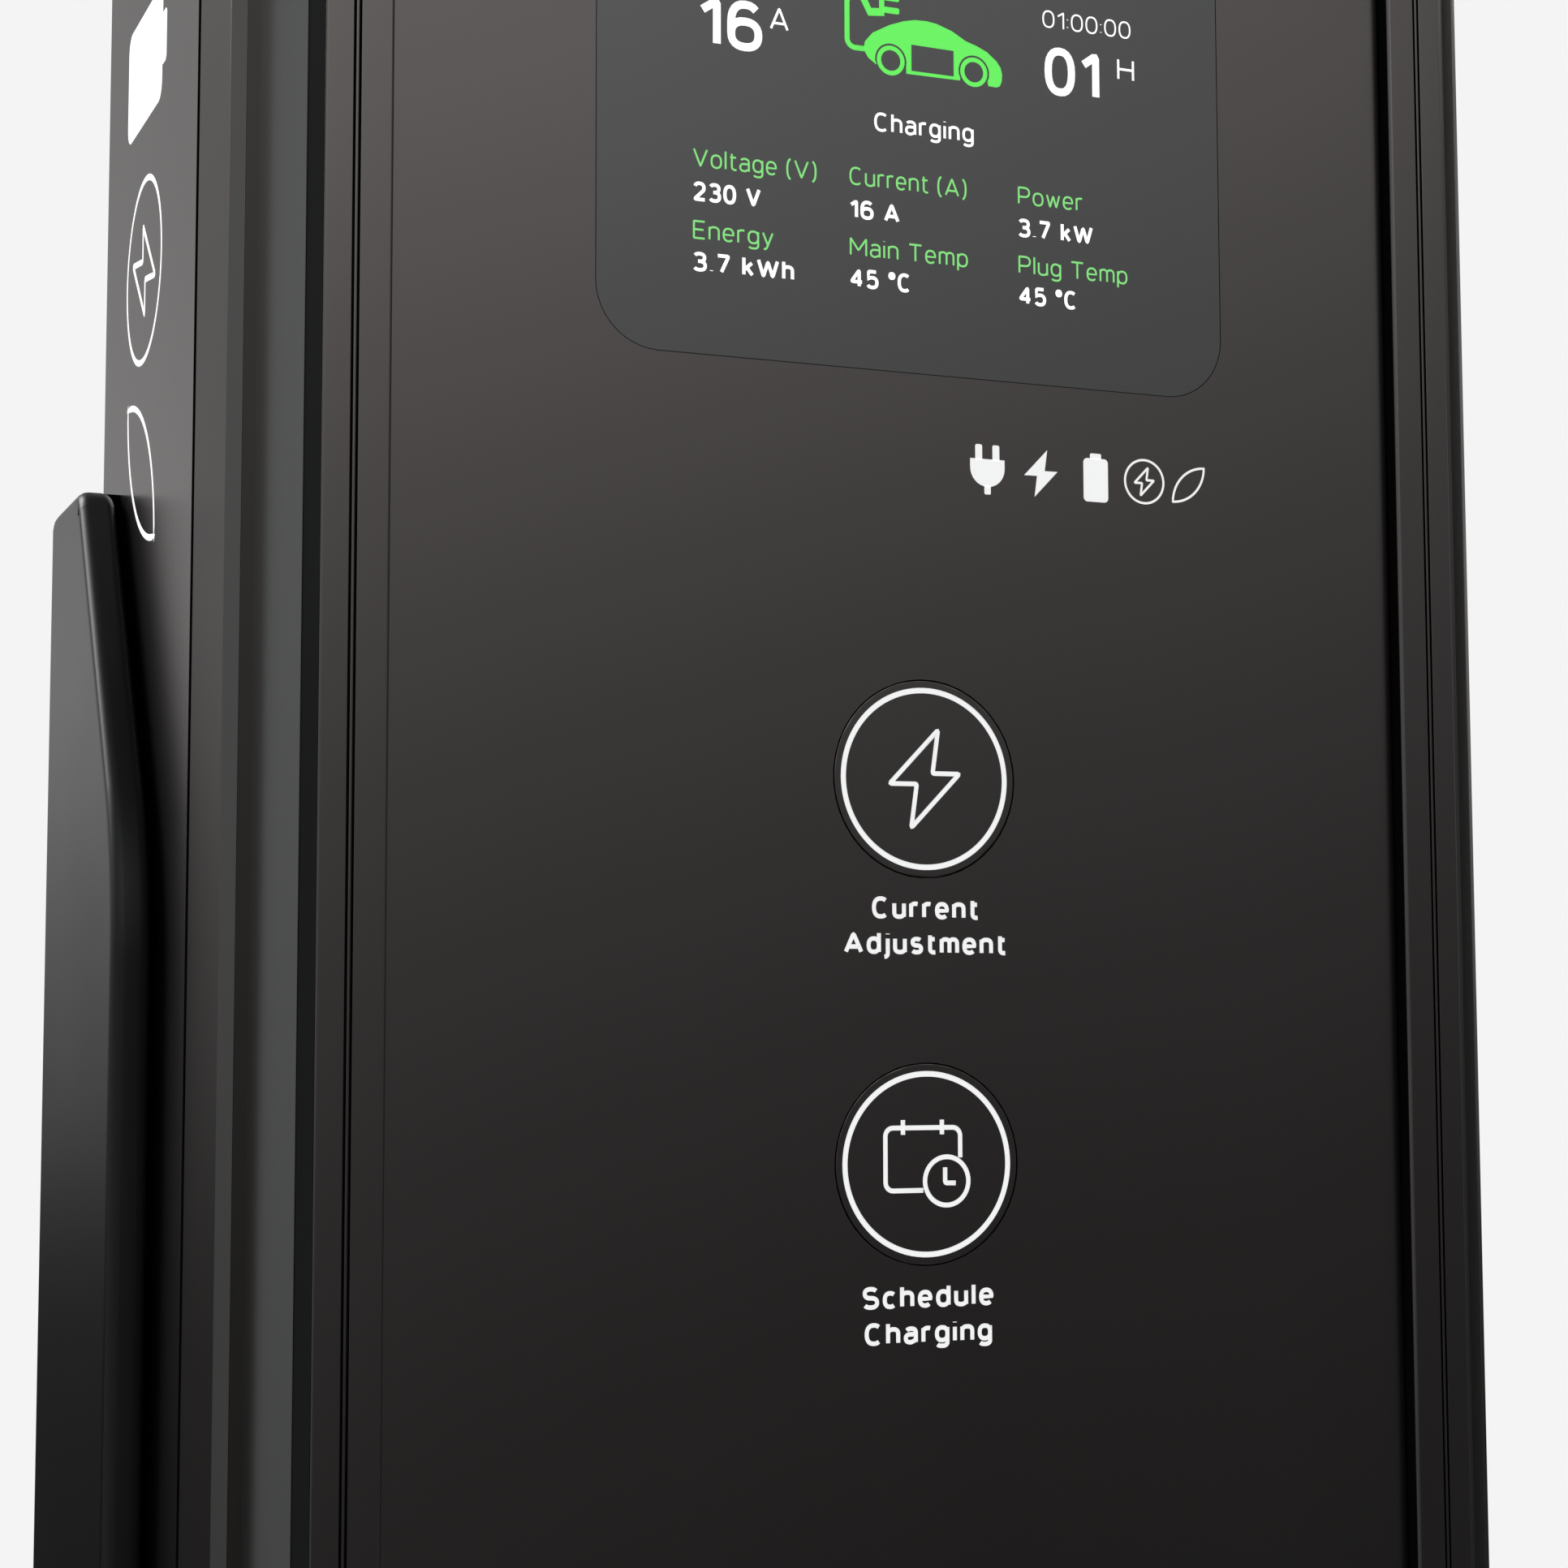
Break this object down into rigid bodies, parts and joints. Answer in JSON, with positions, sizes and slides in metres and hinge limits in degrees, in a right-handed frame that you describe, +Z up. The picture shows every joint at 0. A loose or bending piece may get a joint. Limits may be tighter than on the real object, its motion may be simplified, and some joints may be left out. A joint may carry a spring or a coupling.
{
  "type": "ev charging post",
  "caption": "Slim rectangular charging column for electric vehicles with a recessed fascia, display, two push buttons and a lidded socket, held in a steel channel on a base plate.",
  "frame": {"origin": "centre of the underside of the base plate", "axes": "+Z up, front faces -Y, +X to the right when looking at +Y"},
  "size_m": [0.32, 0.24, 1.4],
  "materials": {
    "column_alu": "black satin anodised extrusion",
    "panel_alu": "black satin anodised sheet",
    "button_alu": "black satin anodised button cap",
    "cap_alu": "black satin anodised cap",
    "channel_paint": "matte dark grey powder coat",
    "base_paint": "matte black powder coat",
    "rubber": "matte black rubber",
    "glass": "dark tinted display glass",
    "black_plastic": "matte black moulded plastic",
    "grey_plastic": "light grey moulded plastic",
    "blue_plastic": "blue lever plastic",
    "yellow_plastic": "yellow push button plastic",
    "steel": "zinc plated steel",
    "screw_steel": "black oxide steel",
    "spring_steel": "spring steel wire",
    "brass": "silvered or plain brass",
    "board": "green solder resist on laminate",
    "lcd": "display cell in a metal can"
  },
  "bodies": {
    "post": {"base_plate": "base_paint", "pedestal_channel": "channel_paint", "channel_pads": "rubber", "channel_screws": "screw_steel", "rear_body": "column_alu", "left_rail": "column_alu", "right_rail": "column_alu", "left_infill": "rubber", "right_infill": "rubber", "panel_gaskets": "rubber", "fascia_panel": "panel_alu", "fascia_clips": "steel", "socket_panel": "panel_alu", "service_cover": "panel_alu", "panel_screws": "screw_steel", "cross_bars": "steel", "top_cap": "cap_alu", "cap_gasket": "rubber", "cap_screws": "screw_steel", "foot_screws": "screw_steel", "display_glass": "glass", "display_frame": "black_plastic", "lcd_module": "lcd", "display_board": "board", "button_housings": "black_plastic", "current_spring": "spring_steel", "schedule_spring": "spring_steel", "switch_board": "board", "switch_standoffs": "brass", "socket_flange": "black_plastic", "socket_cup": "black_plastic", "socket_seal": "rubber", "socket_insert": "black_plastic", "socket_contacts": "brass", "socket_screws": "screw_steel", "lid_pin": "steel", "lid_spring": "spring_steel", "lock_actuator": "black_plastic", "mounting_plate": "steel", "plate_standoffs": "steel", "din_rails": "steel", "main_breaker": "grey_plastic", "residual_breaker": "grey_plastic", "contactor": "grey_plastic", "energy_meter": "grey_plastic", "terminal_block": "grey_plastic", "earth_bar": "brass", "control_board": "board", "power_supply": "steel", "cable_gland": "black_plastic", "wire_duct": "grey_plastic", "duct_cover": "grey_plastic"},
    "current_button_body": {"current_button": "button_alu"},
    "schedule_button_body": {"schedule_button": "button_alu"},
    "socket_lid_body": {"socket_lid": "black_plastic"},
    "lock_bolt_body": {"lock_bolt": "steel"},
    "breaker_lever_body": {"breaker_lever": "black_plastic"},
    "residual_lever_body": {"residual_lever": "blue_plastic"},
    "test_button_body": {"test_button": "yellow_plastic"}
  },
  "joints": [
    {"name": "current_button_press", "type": "slide", "parent": "post", "child": "current_button_body", "axis": [0, 1, 0], "range_m": [0, 0.0015], "stiffness_N_per_m": 600, "springref_m": -0.001, "deforming": ["current_spring"]},
    {"name": "schedule_button_press", "type": "slide", "parent": "post", "child": "schedule_button_body", "axis": [0, 1, 0], "range_m": [0, 0.0015], "stiffness_N_per_m": 600, "springref_m": -0.001, "deforming": ["schedule_spring"]},
    {"name": "socket_lid_hinge", "type": "hinge", "parent": "post", "child": "socket_lid_body", "pos_m": [0, -0.0653, 0.912], "axis": [-1, 0, 0], "range_deg": [0, 110], "stiffness_Nm_per_rad": 0.03, "springref_deg": -34.38},
    {"name": "lock_bolt_slide", "type": "slide", "parent": "post", "child": "lock_bolt_body", "axis": [0, 0, -1], "range_m": [0, 0.0055]},
    {"name": "breaker_lever_swing", "type": "hinge", "parent": "post", "child": "breaker_lever_body", "pos_m": [0, -0.0235, 0.43], "axis": [1, 0, 0], "range_deg": [0, 70]},
    {"name": "residual_lever_swing", "type": "hinge", "parent": "post", "child": "residual_lever_body", "pos_m": [0.028, -0.0235, 0.43], "axis": [1, 0, 0], "range_deg": [0, 70]},
    {"name": "test_button_press", "type": "slide", "parent": "post", "child": "test_button_body", "axis": [0, 1, 0], "range_m": [0, 0.0012], "stiffness_N_per_m": 400, "springref_m": -0.001}
  ]
}
